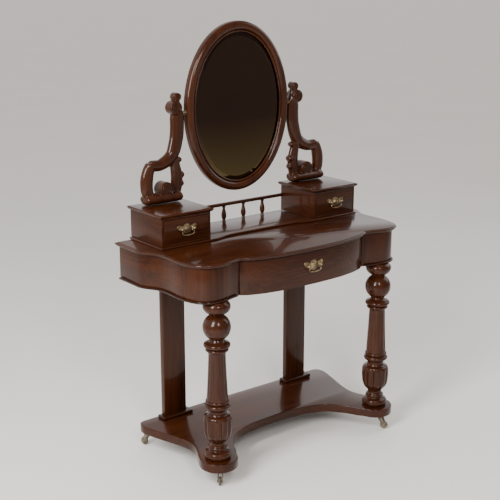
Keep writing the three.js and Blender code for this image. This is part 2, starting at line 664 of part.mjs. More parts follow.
// ---------------------------------------------------------------- castors
// Wheel with a rounded tread, drawn on an upright axis and laid over on its axle
function castorWheel() {
  const { wheelRadius: r, wheelWidth: w, axle } = CASTOR;
  const bore = axle + GAP;
  const profile = [
    [bore, -w / 2], [6, -w / 2], [6.5, -w / 2 + 1.5], [r - 4, -w / 2 + 1.5], [r - 1.5, -w / 2 + 1.5],
    [r, -2], [r, 2], [r - 1.5, w / 2 - 1.5], [6.5, w / 2 - 1.5], [6, w / 2], [bore, w / 2], [bore, -w / 2],
  ];
  return turned(profile).rotateX(Math.PI / 2);
}

function castorHorn() {
  const { trail, cheek, wheelWidth, wheelRadius, axle } = CASTOR;
  const inner = wheelWidth / 2 + 0.8;
  const disc = new THREE.CylinderGeometry(13, 13, 5, 20).rotateX(Math.PI / 2).translate(0, 0, 51.5);
  const yoke = block([-9, -inner - cheek, 42], [trail * 0.6, inner + cheek, 49.5]);
  const side = new THREE.Shape([
    [-9, 49], [11, 49], [trail + 5, 20], [trail + 3, 10], [trail - 3, 10], [trail - 6, 18],
  ].map(([x, z]) => new THREE.Vector2(x, z)));
  const cheeks = [plate(side, -inner - cheek, -inner), plate(side, inner, inner + cheek)];
  const pin = new THREE.CylinderGeometry(axle, axle, 2 * (inner + cheek) + 3, 12);
  pin.translate(trail, 0, wheelRadius);
  return join(disc, yoke, ...cheeks, pin);
}

function castorPlate() {
  const profile = [
    [0, 54 + GAP], [10, 54 + GAP], [16, 55.5], [17, PLINTH_BOTTOM - GAP], [0, PLINTH_BOTTOM - GAP],
  ];
  return turned(profile);
}

for (const [place, { x, y, heading }] of Object.entries(CASTORS)) {
  const turn = THREE.MathUtils.degToRad(heading);
  addPiece(`castor_plate_${place}`, castorPlate(), castorMetal).position.set(x, y, 0);
  const horn = addPiece(`castor_horn_${place}`, castorHorn(), castorMetal);
  horn.position.set(x, y, 0);
  horn.rotation.z = turn;
  const wheel = addPiece(`castor_wheel_${place}`, castorWheel(), castorMetal);
  wheel.position.set(x + CASTOR.trail * Math.cos(turn), y + CASTOR.trail * Math.sin(turn), CASTOR.wheelRadius);
  wheel.rotation.z = turn;
}

// ---------------------------------------------------------------- the origin, under the footprint's middle
table.position.y = -FOOTPRINT_MIDDLE_Y;

export default table;
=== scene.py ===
# %% [markdown]
# # A dressing table with a swing mirror
# The table is mahogany: a serpentine top over one bowed drawer, two trinket boxes, a spindle
# gallery and an oval mirror swung between two carved brackets. The joiner's frame is already
# measured, so every piece here starts from the frame's own places and only its surface is made finer.

# %% The frame
import json
from math import atan2, cos, hypot, pi, radians, sin

import bmesh
import bpy
from mathutils import Matrix, Vector


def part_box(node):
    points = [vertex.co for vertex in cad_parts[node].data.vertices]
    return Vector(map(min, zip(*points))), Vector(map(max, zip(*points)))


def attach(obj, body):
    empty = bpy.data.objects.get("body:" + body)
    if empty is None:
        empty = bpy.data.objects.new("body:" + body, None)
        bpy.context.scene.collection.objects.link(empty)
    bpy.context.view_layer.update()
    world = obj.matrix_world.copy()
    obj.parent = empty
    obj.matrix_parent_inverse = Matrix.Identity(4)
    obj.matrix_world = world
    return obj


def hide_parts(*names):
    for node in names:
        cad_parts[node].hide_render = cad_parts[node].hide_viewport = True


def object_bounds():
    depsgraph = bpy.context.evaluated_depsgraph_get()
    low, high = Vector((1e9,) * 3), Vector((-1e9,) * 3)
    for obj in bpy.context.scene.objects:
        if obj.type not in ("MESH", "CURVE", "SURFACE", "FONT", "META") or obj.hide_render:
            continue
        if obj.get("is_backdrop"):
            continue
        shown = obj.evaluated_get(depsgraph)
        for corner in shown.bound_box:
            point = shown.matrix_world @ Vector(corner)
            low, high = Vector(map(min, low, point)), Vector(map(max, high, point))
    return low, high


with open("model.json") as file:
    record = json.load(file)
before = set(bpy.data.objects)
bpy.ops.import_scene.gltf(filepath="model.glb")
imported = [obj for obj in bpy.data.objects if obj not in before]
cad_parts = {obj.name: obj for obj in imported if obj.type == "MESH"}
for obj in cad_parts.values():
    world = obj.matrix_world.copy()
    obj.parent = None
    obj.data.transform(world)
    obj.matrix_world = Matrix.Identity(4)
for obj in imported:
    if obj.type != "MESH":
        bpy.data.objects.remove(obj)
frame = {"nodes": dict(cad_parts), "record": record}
cad_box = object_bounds()
record = frame["record"]
body_of = {node: body for body, nodes in record["behaviour"]["bodies"].items() for node in nodes}
MM = 0.001
SIDES = {"left": -1, "right": 1}

# %% [markdown]
# ## Camera, floor and light
# The table is seen from its left front corner, from a little above the mirror's top. A long lens
# a few metres away keeps the legs nearly upright. The camera could be aimed with a constraint, but
# its angles are plain numbers, so they are simply set.

# %% The camera
CAMERA_PLACE = (-2.2564, -2.7757, 1.6797)
LOOKING_DOWN, TURNED_RIGHT = 15.31, 37.93
camera_data = bpy.data.cameras.new("camera")
camera_data.lens = 76.74
camera = bpy.data.objects.new("camera", camera_data)
camera.location = CAMERA_PLACE
camera.rotation_euler = (radians(90 - LOOKING_DOWN), 0, radians(-TURNED_RIGHT))
bpy.context.scene.collection.objects.link(camera)
bpy.context.scene.camera = camera
print("camera:", CAMERA_PLACE, "lens", camera_data.lens)

# %% [markdown]
# Polished wood shows what it reflects, so the light matters as much as the colour. The room is bright
# behind the table and dimmer in front. That gives the flat tops their pale sheen and keeps the
# drawer fronts deep. Tall soft lamps leave bright windows on the turned balls and the brackets.

# %% The lamps
LAMPS = {
    "window_light": {"place": (-2.7, -0.9, 2.3), "target": (0, 0, 0.8), "size": (0.9, 1.9), "power": 140},
    "second_window": {"place": (-1.3, -2.9, 2.6), "target": (0, 0, 0.7), "size": (0.6, 1.2), "power": 55},
    "fill_light": {"place": (2.8, -0.6, 2.3), "target": (0, 0, 0.7), "size": (2.0, 2.0), "power": 30},
}


def soft_lamp(name, place, target, size, power):
    data = bpy.data.lights.new(name, "AREA")
    data.shape = "RECTANGLE"
    data.size, data.size_y = size
    data.energy = power
    lamp = bpy.data.objects.new(name, data)
    lamp.location = place
    lamp.rotation_euler = (Vector(target) - Vector(place)).to_track_quat("-Z", "Y").to_euler()
    bpy.context.scene.collection.objects.link(lamp)


for name, lamp in LAMPS.items():
    soft_lamp(name, **lamp)
print("lamps:", len(LAMPS))

# %% The room
DIM_FRONT, BRIGHT_BACK = (0.30, 0.27, 0.25, 1), (1.0, 0.97, 0.96, 1)
FRONT_END, BACK_END = -0.5, 0.6

world = bpy.data.worlds.new("pale_room")
world.use_nodes = True
nodes, links = world.node_tree.nodes, world.node_tree.links
where = nodes.new("ShaderNodeTexCoord")
split = nodes.new("ShaderNodeSeparateXYZ")
shade = nodes.new("ShaderNodeMapRange")
tint = nodes.new("ShaderNodeMix")
tint.data_type = "RGBA"
tint.inputs[6].default_value = DIM_FRONT
tint.inputs[7].default_value = BRIGHT_BACK
shade.inputs["From Min"].default_value = FRONT_END
shade.inputs["From Max"].default_value = BACK_END
links.new(where.outputs["Generated"], split.inputs[0])
links.new(split.outputs["Y"], shade.inputs[0])
links.new(shade.outputs[0], tint.inputs[0])
links.new(tint.outputs[2], nodes["Background"].inputs["Color"])
nodes["Background"].inputs["Strength"].default_value = 1.25
bpy.context.scene.world = world
print("room: dim in front, bright behind")

# %% The floor
FLOOR_HALF = 60.0
bm = bmesh.new()
bmesh.ops.create_grid(bm, x_segments=2, y_segments=2, size=FLOOR_HALF)
floor_mesh = bpy.data.meshes.new("floor")
bm.to_mesh(floor_mesh)
bm.free()
floor = bpy.data.objects.new("floor", floor_mesh)
bpy.context.scene.collection.objects.link(floor)
floor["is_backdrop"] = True
print("floor half width:", FLOOR_HALF, "m")

# %% [markdown]
# ## Finishes
# A finish is a small network of nodes. Written as sums it stays readable: a wire stands for one
# socket, and adding or multiplying two wires adds the Math node that does it.


# %% Shader arithmetic
class Wire:
    """One output socket, which Python sums can use."""

    def __init__(self, finish, socket):
        self.finish = finish
        self.socket = socket

    def of(self, name):
        return Wire(self.finish, self.socket.node.outputs[name])

    def math(self, operation, *others):
        values = dict(enumerate((self, *others)))
        return self.finish.node("ShaderNodeMath", {"operation": operation}, values)

    def __add__(self, other):
        return self.math("ADD", other)

    def __mul__(self, other):
        return self.math("MULTIPLY", other)

    def __rsub__(self, other):
        return self.math("MULTIPLY", -1.0) + other

    __radd__ = __add__
    __rmul__ = __mul__


print("wires can be added, multiplied and taken from a number")


# %% One finish
class Finish:
    """A material that is built around one Principled shader."""

    def __init__(self, name):
        self.material = bpy.data.materials.new(name)
        self.material.use_nodes = True
        self.tree = self.material.node_tree
        self.shader = self.tree.nodes["Principled BSDF"]

    def feed(self, socket, value):
        if isinstance(value, Wire):
            self.tree.links.new(value.socket, socket)
        elif isinstance(value, tuple) and len(value) == 3 and socket.type == "RGBA":
            socket.default_value = (*value, 1)
        else:
            socket.default_value = value

    def node(self, kind, settings, sockets):
        node = self.tree.nodes.new(kind)
        for key, value in settings.items():
            if key == "stops":
                ramp_stops(node.color_ramp, value)
            else:
                setattr(node, key, value)
        for key, value in sockets.items():
            self.feed(node.inputs[key], value)
        return Wire(self, node.outputs[0])

    def surface(self, **sockets):
        for key, value in sockets.items():
            self.feed(self.shader.inputs[key.replace("_", " ")], value)
        return self.material

    def where(self):
        return self.node("ShaderNodeTexCoord", {}, {}).of("Object")

    def height(self):
        return self.node("ShaderNodeSeparateXYZ", {}, {0: self.where()}).of("Z")

    def noise(self, scale, detail, distortion=0.0):
        place = self.node("ShaderNodeMapping", {}, {"Vector": self.where(), "Scale": scale})
        values = {"Vector": place, "Scale": 1.0, "Detail": detail, "Distortion": distortion}
        return self.node("ShaderNodeTexNoise", {}, values)

    def ramp(self, factor, *stops):
        return self.node("ShaderNodeValToRGB", {"stops": stops}, {"Fac": factor})

    def mix(self, factor, first, second):
        node = self.node("ShaderNodeMix", {"data_type": "RGBA"}, {0: factor, 6: first, 7: second})
        return Wire(self, node.socket.node.outputs[2])

    def bump(self, height, depth, strength):
        return self.node("ShaderNodeBump", {}, {"Height": height, "Distance": depth, "Strength": strength})


def ramp_stops(ramp, stops):
    while len(ramp.elements) < len(stops):
        ramp.elements.new(0.5)
    for element, (position, grey) in zip(ramp.elements, stops):
        element.position = position
        element.color = (grey, grey, grey, 1)


print("a finish has noise, ramps, mixes and bumps")

# %% [markdown]
# ### Mahogany
# French-polished mahogany is a deep red-brown with long fine streaks, broad soft bands of figure and
# short dark pores, all running along the board. The grain is three noises stretched along one axis,
# over a fourth that darkens it in patches. The polish is a clear coat whose gloss wanders a little
# where hands have dulled it.

# %% Mahogany
AXES = {"x": (1, 0, 0), "y": (0, 1, 0), "z": (0, 0, 1)}


def along(axis, fine, coarse):
    """Pattern scale: coarse along the grain's axis and fine across it, per metre."""
    return tuple(coarse if on else fine for on in AXES[axis])


def mahogany(name, axis, depth=1.0):
    wood = Finish(name)
    streaks = wood.noise(along(axis, 230, 7), detail=4)
    figure = wood.noise(along(axis, 15, 1.6), detail=3, distortion=1.2)
    pores = wood.ramp(wood.noise(along(axis, 900, 34), detail=1), (0.60, 0.0), (0.72, 1.0))
    patches = wood.noise((3.1, 3.1, 3.1), detail=2)
    dark = tuple(c * depth for c in (0.021, 0.0050, 0.0018))
    middle = tuple(c * depth for c in (0.043, 0.0108, 0.0030))
    light = tuple(c * depth for c in (0.072, 0.0215, 0.0055))
    body = wood.mix(wood.ramp(figure, (0.34, 0.0), (0.66, 1.0)), dark, middle)
    body = wood.mix(wood.ramp(streaks, (0.42, 0.0), (0.80, 0.6)), body, light)
    body = wood.mix(pores * 0.35, body, dark)
    body = wood.mix(wood.ramp(patches, (0.35, 0.0), (0.70, 0.3)), body, dark)
    rough = patches * 0.10 + streaks * 0.06 + 0.17
    height = streaks * 0.3 + (1 - pores) * 0.7
    return wood.surface(
        Base_Color=body, Roughness=rough, Normal=wood.bump(height, 0.00010, 0.22),
        Coat_Weight=patches * 0.2 + 0.2, Coat_Roughness=0.06, IOR=1.45, Specular_IOR_Level=0.12,
    )


mahogany_x = mahogany("mahogany_long_grain", "x")
mahogany_y = mahogany("mahogany_deep_grain", "y")
mahogany_z = mahogany("mahogany_upright_grain", "z")
dark_x = mahogany("dark_mahogany", "x", depth=0.62)
print("mahogany: 4 finishes")

# %% [markdown]
# ### Linings, brass and glass
# Drawer linings are plain waxed wood that never saw polish. The handles are brass, bright where
# fingers rub and brown in the hollows. The castors are the same metal, long untouched. The old
# silvering of the mirror is dark and has small tarnish specks; towards its foot a yellow-brown
# painted reflection lies over it.


# %% Linings
def lining_wood(name, axis, depth):
    wood = Finish(name)
    streaks = wood.noise(along(axis, 260, 9), detail=4)
    figure = wood.noise(along(axis, 22, 2), detail=2, distortion=0.8)
    pale = tuple(c * depth for c in (0.42, 0.24, 0.115))
    middle = tuple(c * depth for c in (0.27, 0.135, 0.055))
    dark = tuple(c * depth for c in (0.17, 0.08, 0.035))
    body = wood.mix(wood.ramp(figure, (0.3, 0.0), (0.7, 1.0)), middle, pale)
    body = wood.mix(wood.ramp(streaks, (0.5, 0.0), (0.75, 0.6)), body, dark)
    return wood.surface(
        Base_Color=body, Roughness=streaks * 0.2 + 0.5, Normal=wood.bump(streaks, 0.0002, 0.5),
    )


print("lining wood is ready")


# %% Metals and glass
def old_brass(name, bright, brown, dull):
    brass = Finish(name)
    tarnish = brass.noise((95, 95, 95), detail=4, distortion=0.6)
    scratches = brass.noise((900, 260, 900), detail=2)
    mask = brass.ramp(tarnish, (0.36, 0.0), (0.60, 1.0))
    return brass.surface(
        Base_Color=brass.mix(mask, bright, brown), Metallic=1 - mask * 0.35,
        Roughness=mask * 0.22 + scratches * 0.12 + dull, Normal=brass.bump(tarnish, 0.0002, 0.4),
    )


# Heights in metres between which the painted reflection at the mirror's foot fades out.
FOOT_LOW, FOOT_HIGH = 0.93, 1.14


def old_mirror():
    """Dark silvering, with a yellow-brown painted reflection between two heights near the plate's foot."""
    glass = Finish("old_mirror")
    shade = glass.noise((2.2, 2.2, 2.2), detail=1)
    specks = glass.ramp(glass.noise((160, 160, 160), detail=3), (0.70, 0.0), (0.78, 1.0))
    body = glass.mix(shade, (0.030, 0.018, 0.014), (0.048, 0.030, 0.023))
    # Painted reflection: yellow-brown is mixed into the silvering below FOOT_HIGH, fully below FOOT_LOW,
    # patchy with the noise.
    limits = {0: glass.height(), 1: FOOT_LOW, 2: FOOT_HIGH, 3: 1.0, 4: 0.0}
    painted_reflection = glass.node("ShaderNodeMapRange", {}, limits)
    body = glass.mix(painted_reflection * (shade + 0.35), body, (0.105, 0.078, 0.034))
    body = glass.mix(specks * 0.5, body, (0.09, 0.065, 0.04))
    return glass.surface(Base_Color=body, Metallic=1.0, Roughness=specks * 0.15 + 0.035)


print("brass and old silvering are ready")

# %% The other finishes
lining = lining_wood("drawer_lining", "y", 0.8)
board_lining = lining_wood("mirror_board_lining", "z", 0.4)
aged_brass = old_brass("aged_brass", (0.46, 0.35, 0.20), (0.11, 0.075, 0.038), 0.22)
castor_metal = old_brass("castor_metal", (0.30, 0.26, 0.19), (0.10, 0.08, 0.06), 0.36)
mirror_finish = old_mirror()

plain = Finish("pale_floor")
drift = plain.noise((1.3, 1.3, 1.3), detail=2)
floor_colour = plain.mix(drift, (0.80, 0.78, 0.74), (0.86, 0.84, 0.80))
floor.data.materials.append(plain.surface(Base_Color=floor_colour, Roughness=0.6))
print("other finishes: two linings, brass, castor metal, mirror, floor")

# %% [markdown]
# ## Shared tools
# Every piece is a bmesh until it is finished. `show` turns it into an object, gives it its finish and
# says which body it moves with and which plain solid of the frame it stands for. Edges sharper than
# a set angle stay crisp, and the rest shade as one surface.


# %% From bmesh to piece
def show(bm, name, finish, smooth=35):
    for face in bm.faces:
        face.smooth = True
    for edge in bm.edges:
        edge.smooth = len(edge.link_faces) == 2 and edge.calc_face_angle(0) < radians(smooth)
    mesh = bpy.data.meshes.new(name + "_shape")
    bm.to_mesh(mesh)
    bm.free()
    mesh.materials.append(finish)
    piece = bpy.data.objects.new(name + "_finished", mesh)
    bpy.context.scene.collection.objects.link(piece)
    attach(piece, body_of[name])
    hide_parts(name)
    return piece


def tidy(bm, gap=1e-6):
    bmesh.ops.remove_doubles(bm, verts=bm.verts, dist=gap)
    bmesh.ops.recalc_face_normals(bm, faces=bm.faces)


def add_to(bm, made):
    """Moves what is in one bmesh into another."""
    mesh = bpy.data.meshes.new("draft")
    made.to_mesh(mesh)
    made.free()
    bm.from_mesh(mesh)
    bpy.data.meshes.remove(mesh)


print("a bmesh can be tidied, joined and shown")

# %% [markdown]
# Many pieces start from the frame's own solid. It comes as loose triangles, so a copy is merged first.
# Then its edges can be eased, or one level of it cut out as an outline for a moulding.

# %% From the frame's solids
MERGED = 2e-5


def merged(node):
    bm = bmesh.new()
    bm.from_mesh(frame["nodes"][node].data)
    bmesh.ops.remove_doubles(bm, verts=bm.verts, dist=MERGED)
    return bm


def copy_of(node):
    """The frame's own solid, merged, with its flat faces made whole again."""
    bm = merged(node)
    bmesh.ops.dissolve_limit(bm, angle_limit=radians(0.6), verts=bm.verts, edges=bm.edges)
    return bm


def ease(bm, radius, sharp=32, segments=3):
    """Rounds every edge that is sharper than an angle, as sandpaper and polish do."""
    edges = [e for e in bm.edges if len(e.link_faces) == 2 and e.calc_face_angle(0) > radians(sharp)]
    bmesh.ops.bevel(
        bm, geom=edges, offset=radius, offset_type="OFFSET", segments=segments, profile=0.5,
        affect="EDGES", material=-1, clamp_overlap=True,
    )
    return bm


def section(node, height):
    """The outline of a board at one height, as a single flat face."""
    bm = merged(node)
    everything = list(bm.verts) + list(bm.edges) + list(bm.faces)
    bmesh.ops.bisect_plane(
        bm, geom=everything, dist=1e-7, plane_co=(0, 0, height), plane_no=(0, 0, 1),
        clear_inner=True, clear_outer=True,
    )
    bmesh.ops.remove_doubles(bm, verts=bm.verts, dist=1e-4)
    bmesh.ops.contextual_create(bm, geom=bm.edges)
    for face in bm.faces:
        if face.normal.z < 0:
            face.normal_flip()
    return bm


def middle_of(node):
    low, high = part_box(node)
    return (low + high) / 2


print("the frame's solids can be copied, eased and cut")

# %% [markdown]
# The rest is made from a drawing: a lathe for what is turned, and a bar along a smooth line for what
# is carved or bent. Both work from a few points, and a formula fills in the curve between them.


# %% Turning and bending
def turned(profile, place, steps):
    """A lathe: (radius, height) pairs in millimetres, spun round an upright axis."""
    bm = bmesh.new()
    verts = [bm.verts.new((radius * MM, 0, height * MM)) for radius, height in profile]
    edges = [bm.edges.new(pair) for pair in zip(verts, verts[1:])]
    bmesh.ops.spin(
        bm, geom=verts + edges, cent=(0, 0, 0), axis=(0, 0, 1), angle=2 * pi, steps=steps, use_merge=True,
    )
    tidy(bm)
    bmesh.ops.translate(bm, vec=place, verts=bm.verts)
    return bm


def arc(root, out, low, high, steps=8):
    """A round bead on a turned profile: it stands out from root to out between two heights."""
    middle, half = (low + high) / 2, (high - low) / 2
    angles = [pi * i / steps for i in range(steps + 1)]
    return [(root + (out - root) * sin(a), middle - half * cos(a)) for a in angles]


def curve_through(points, steps):
    """A smooth line through a few points (Catmull-Rom)."""
    points = [Vector(p) for p in points]
    ends = [points[0], *points, points[-1]]
    line = []
    for a, b, c, d in zip(ends, ends[1:], ends[2:], ends[3:]):
        for i in range(steps):
            t = i / steps
            slope, bend, twist = c - a, 2 * a - 5 * b + 4 * c - d, 3 * b - a - 3 * c + d
            line.append(0.5 * (2 * b + slope * t + bend * t**2 + twist * t**3))
    return line + [points[-1]]


def rope(bm, line, radii, sides):
    """A round bar along a line, with its own thickness at every point."""
    line = [Vector(p) for p in line]
    last = len(line) - 1
    rings = []
    for i, point in enumerate(line):
        ahead = (line[min(i + 1, last)] - line[max(i - 1, 0)]).normalized()
        turn = ahead.to_track_quat("Z", "Y").to_matrix().to_4x4()
        ring = bmesh.ops.create_circle(
            bm, cap_ends=i in (0, last), segments=sides, radius=radii[i],
            matrix=Matrix.Translation(point) @ turn,
        )["verts"]
        rings.append({e for v in ring for e in v.link_edges})
    for first, second in zip(rings, rings[1:]):
        bmesh.ops.bridge_loops(bm, edges=list(first | second))
    skin = {face for ring in rings for edge in ring for face in edge.link_faces}
    bmesh.ops.recalc_face_normals(bm, faces=list(skin))


print("lathe and bar are ready")

# %% [markdown]
# ## Boards with a plain edge
# Most of the carcase is flat board: panels, rails, boxes, drawer sides. A real board never has a
# razor edge, so each one is the frame's solid with its edges rounded by about a millimetre. Bevelling
# only the edges that are sharper than 32 degrees leaves the serpentine faces smooth.

# %% Eased boards
BOARDS = {
    mahogany_x: {
        "plinth_shelf": 2.2, "platform_board": 2.5, "gallery_rail": 2.6, "main_drawer_front": 0.9,
        "left_drawer_front": 0.9, "right_drawer_front": 0.9,
    },
    mahogany_y: {
        "side_panel_left": 0.8, "side_panel_right": 0.8, "box_case_left": 0.8, "box_case_right": 0.8,
    },
    mahogany_z: {
        "corner_block_left": 0.8, "corner_block_right": 0.8, "back_leg_left": 1.5, "back_leg_right": 1.5,
    },
    dark_x: {
        "back_rail": 1.0, "leg_collar_left": 3.5, "leg_collar_right": 3.5, "bottom_bead_left": 2.6,
        "bottom_bead_right": 2.6,
    },
    lining: {
        "drawer_runner_frame": 0.8, "left_drawer_tray": 0.8, "right_drawer_tray": 0.8,
        "main_drawer_side_left": 1.5, "main_drawer_side_right": 1.5, "main_drawer_back": 1.2,
        "main_drawer_bottom": 0.6,
    },
    board_lining: {"mirror_back_board": 0.8},
}
for finish, boards in BOARDS.items():
    for node, radius in boards.items():
        show(ease(copy_of(node), radius * MM), node, finish)
print("eased boards:", sum(len(boards) for boards in BOARDS.values()))

# %% [markdown]
# ## The moulded top and lids
# The edge of the top is a thumb moulding: a small quirk, a round nose and a hollow under it. It is
# worked from the board's own outline by insetting its face again and again, each time by one small
# step of the moulding's profile, because an inset keeps its distance round every bend and corner.


# %% Moulded boards
PARTING = 0.1


def moulded(node, widest, above, below):
    """Insets the outline upwards and then downwards by (inwards, height) steps in millimetres."""
    low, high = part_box(node)
    half_way = (low.z + high.z) / 2
    bm = section(node, half_way)
    bmesh.ops.translate(bm, vec=(0, 0, widest * MM - half_way), verts=bm.verts)
    top = list(bm.faces)
    down = bmesh.ops.extrude_face_region(bm, geom=top, use_keep_orig=True)
    bottom = [f for f in down["geom"] if isinstance(f, bmesh.types.BMFace)]
    bottom_verts = list({v for f in bottom for v in f.verts})
    bmesh.ops.translate(bm, vec=(0, 0, -PARTING * MM), verts=bottom_verts)
    bmesh.ops.recalc_face_normals(bm, faces=bm.faces)
    for face, steps in ((top, above), (bottom, below)):
        for inwards, height in steps:
            bmesh.ops.inset_region(
                bm, faces=face, thickness=inwards * MM, depth=height * MM, use_even_offset=True,
            )
    return bm


TOP = {
    "widest": 757,
    "above": [(0.3, 1.2), (0.6, 1.0), (1.2, 0.8), (4.5, 0.3), (0.2, 1.5), (0.5, 0.2)],
    "below": [
        (0.3, 1.3), (0.7, 1.2), (1.3, 0.7), (1.4, 0.2), (0.3, 2.2), (1.0, 1.6), (2.0, 1.5), (2.2, 0.9),
    ],
}
LID = {
    "widest": 874,
    "above": [(0.3, 0.9), (0.6, 0.8), (1.0, 0.5), (2.0, 0.2), (0.2, 1.5), (0.5, 0.1)],
    "below": [(0.3, 0.9), (0.6, 0.8), (1.0, 0.5), (0.3, 1.6), (1.2, 1.8), (2.0, 1.4), (1.0, 0.9)],
}
show(moulded("table_top", **TOP), "table_top", mahogany_x, smooth=40)
for side in SIDES:
    show(moulded(f"box_lid_{side}", **LID), f"box_lid_{side}", mahogany_x, smooth=40)
print("moulded boards: the top and two lids")

# %% [markdown]
# ## Turned legs
# Each front leg is one turning: a stepped base, a vase cut into lobes, two rings, a fluted tapering
# column, a ring, a ball and a bun. The lathe gives the round shape. The carver's lobes and flutes are
# then pressed in by moving the spun points towards the axis, more in the grooves than on the crowns.

# %% The profile of a leg
LEG_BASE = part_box("front_leg_left")[0].z / MM
LEG_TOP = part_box("front_leg_left")[1].z / MM
VASE = [
    (25, 0, 143), (29, 0, 149), (37, 0, 158), (43.5, 0, 169), (47, 0, 184), (48.4, 0, 202), (48.4, 0, 220),
]
COLUMN = [(35.4, 0, 301), (33.4, 0, 340), (31.4, 0, 380), (29.8, 0, 418), (28.6, 0, 456)]
BALL = {"radius": 46, "height": 543}


def swept(points, steps=6):
    """(radius, height) pairs of a smooth stretch of a profile."""
    return [(p.x, p.z) for p in curve_through(points, steps)]


def leg_profile():
    ball_angles = [radians(a) for a in range(-60, 61, 5)]
    ball = [(BALL["radius"] * cos(a), BALL["height"] + BALL["radius"] * sin(a)) for a in ball_angles]
    return [
        (0, LEG_BASE), (38, LEG_BASE), *arc(39, 45, LEG_BASE, 113), (36.5, 114.5), (32, 115.5),
        (29, 117.5), (28, 119.5), *arc(28, 32.5, 120, 132), (27, 134), (25.2, 138),
        *swept(VASE), (48, 228), (46.5, 235), (43, 239.5), (38, 240.8), (33, 243),
        (30.2, 248), (29.6, 254), (31, 261), (34, 264), *arc(35, 43, 264.5, 281), (35.5, 282), (35.5, 283),
        *arc(36, 39.5, 283.5, 293), (36.2, 295), (35.6, 298),
        *swept(COLUMN), (29, 459), (31, 461), *arc(33, 38, 462, 472), (34, 473.5),
        (36, 475.5), *arc(38, 44, 476, 490), (38, 491), (32, 492.5), (28, 495), (25.5, 499),
        *ball, (24, 585), (26, 588), (32, 591), (38, 596), (43, 603), (45.5, 611), (44.5, 619), (41, 625),
        (36.5, 628.5), (35, LEG_TOP), (0, LEG_TOP),
    ]


print("leg:", len(leg_profile()), "profile points")

# %% Lobes and flutes
LOBES = 10
CARVED = {
    "vase": {"low": 146, "high": 236, "soft": 9, "depth": 0.13},
    "column": {"low": 302, "high": 456, "soft": 12, "depth": 0.06},
}


def groove(angle):
    """0 on the crown of a lobe, 1 in the groove between two."""
    return (1 - abs(sin(LOBES * angle / 2))) ** 1.6


def cut(height, low, high, soft, depth):
    """The depth of the carving, as a share of the radius: full between two heights, easing to 0."""
    return max(0.0, min(1.0, (height - low) / soft, (high - height) / soft)) * depth


def carve_leg(bm, axis):
    for vert in bm.verts:
        x, y, height = vert.co.x - axis.x, vert.co.y - axis.y, vert.co.z / MM
        keep = 1 - groove(atan2(y, x)) * sum(cut(height, **stretch) for stretch in CARVED.values())
        vert.co.x = axis.x + x * keep
        vert.co.y = axis.y + y * keep


for side in SIDES:
    middle = middle_of(f"front_leg_{side}")
    axis = Vector((middle.x, middle.y, 0))
    bm = turned(leg_profile(), axis, steps=144)
    carve_leg(bm, axis)
    piece = show(bm, f"front_leg_{side}", mahogany_z, smooth=50)
print("front legs: 2 of", len(piece.data.polygons), "faces")

# %% [markdown]
# ## Gallery spindles
# The little rail stands on four vases turned like skittles, thickest near the foot. They are the
# same lathe work as the legs at a tenth of the size, so they need far fewer steps.

# %% Spindles
SPINDLE_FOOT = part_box("spindle_1")[0].z / MM
SPINDLE_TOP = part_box("spindle_1")[1].z / MM
SKITTLE = [
    (5.4, 0, 776), (8.2, 0, 781.5), (9.4, 0, 790), (8.5, 0, 799), (6.3, 0, 808), (4.8, 0, 815),
    (4.8, 0, 818),
]
SPINDLE = [
    (0, SPINDLE_FOOT), (6.6, SPINDLE_FOOT), (7, 771.2), (6.7, 773), (5.6, 774.3),
    *swept(SKITTLE, 4), *arc(5, 6.4, 819, 821.5, 4), (5.4, 822), (6.8, 823),
    (7, SPINDLE_TOP), (0, SPINDLE_TOP),
]
SPINDLES = 4
for number in range(1, SPINDLES + 1):
    middle = middle_of(f"spindle_{number}")
    bm = turned(SPINDLE, (middle.x, middle.y, 0), steps=28)
    show(bm, f"spindle_{number}", mahogany_z, smooth=40)
print("spindles:", SPINDLES, "of", round(SPINDLE_TOP - SPINDLE_FOOT), "mm")

# %% [markdown]
# ## Carved mirror brackets
# A bracket is sawn from thick board and then carved: a big C from the base up to a knee, an S-shaped
# arm, a leaf inside the C, and scrolls where they meet. It could be one outline made thick, but carving
# leaves no flat sawn face. So bars, barrels and balls are pushed into each other, rebuilt as one fine
# skin and smoothed until they flow together. Spirals and ribs are laid on it last.

# %% One skin
SKIN = {"voxel": 0.002, "rounds": 3}


def skinned(rough):
    """Joins overlapping rough pieces into one fine skin, and smooths it."""
    mesh = bpy.data.meshes.new("rough_carving")
    rough.to_mesh(mesh)
    rough.free()
    draft = bpy.data.objects.new("rough_carving", mesh)
    bpy.context.scene.collection.objects.link(draft)
    remesh = draft.modifiers.new("skin", "REMESH")
    remesh.mode = "VOXEL"
    remesh.voxel_size = SKIN["voxel"]
    graph = bpy.context.evaluated_depsgraph_get()
    fine = bpy.data.meshes.new_from_object(draft.evaluated_get(graph))
    bm = bmesh.new()
    bm.from_mesh(fine)
    bpy.data.objects.remove(draft)
    for _ in range(SKIN["rounds"]):
        bmesh.ops.smooth_vert(
            bm, verts=bm.verts, factor=0.5, use_axis_x=True, use_axis_y=True, use_axis_z=True,
        )
    return bm


print("skin: voxels of", SKIN["voxel"] / MM, "mm")

# %% Barrels, balls and bars
BRACKET_Y = middle_of("mirror_bracket_left").y / MM
FOOT = {"x": 320, "z": 897, "length": 146, "height": 36, "depth": 59}
MOST_DEEPENED = 1.15


def at(x, z):
    """A place on the bracket's middle plane, from millimetres."""
    return Matrix.Translation((x * MM, BRACKET_Y * MM, z * MM))


def soften_ends(bm, made, axis, radius, segments):
    """Rounds the rims of a new cylinder that lies along an axis: 0 is x and 1 is y."""
    edges = {edge for vert in made["verts"] for edge in vert.link_edges}
    rims = [e for e in edges if abs(e.verts[0].co[axis] - e.verts[1].co[axis]) < 1e-6]
    bmesh.ops.bevel(
        bm, geom=rims, offset=radius * MM, segments=segments, profile=0.5, affect="EDGES", material=-1,
    )


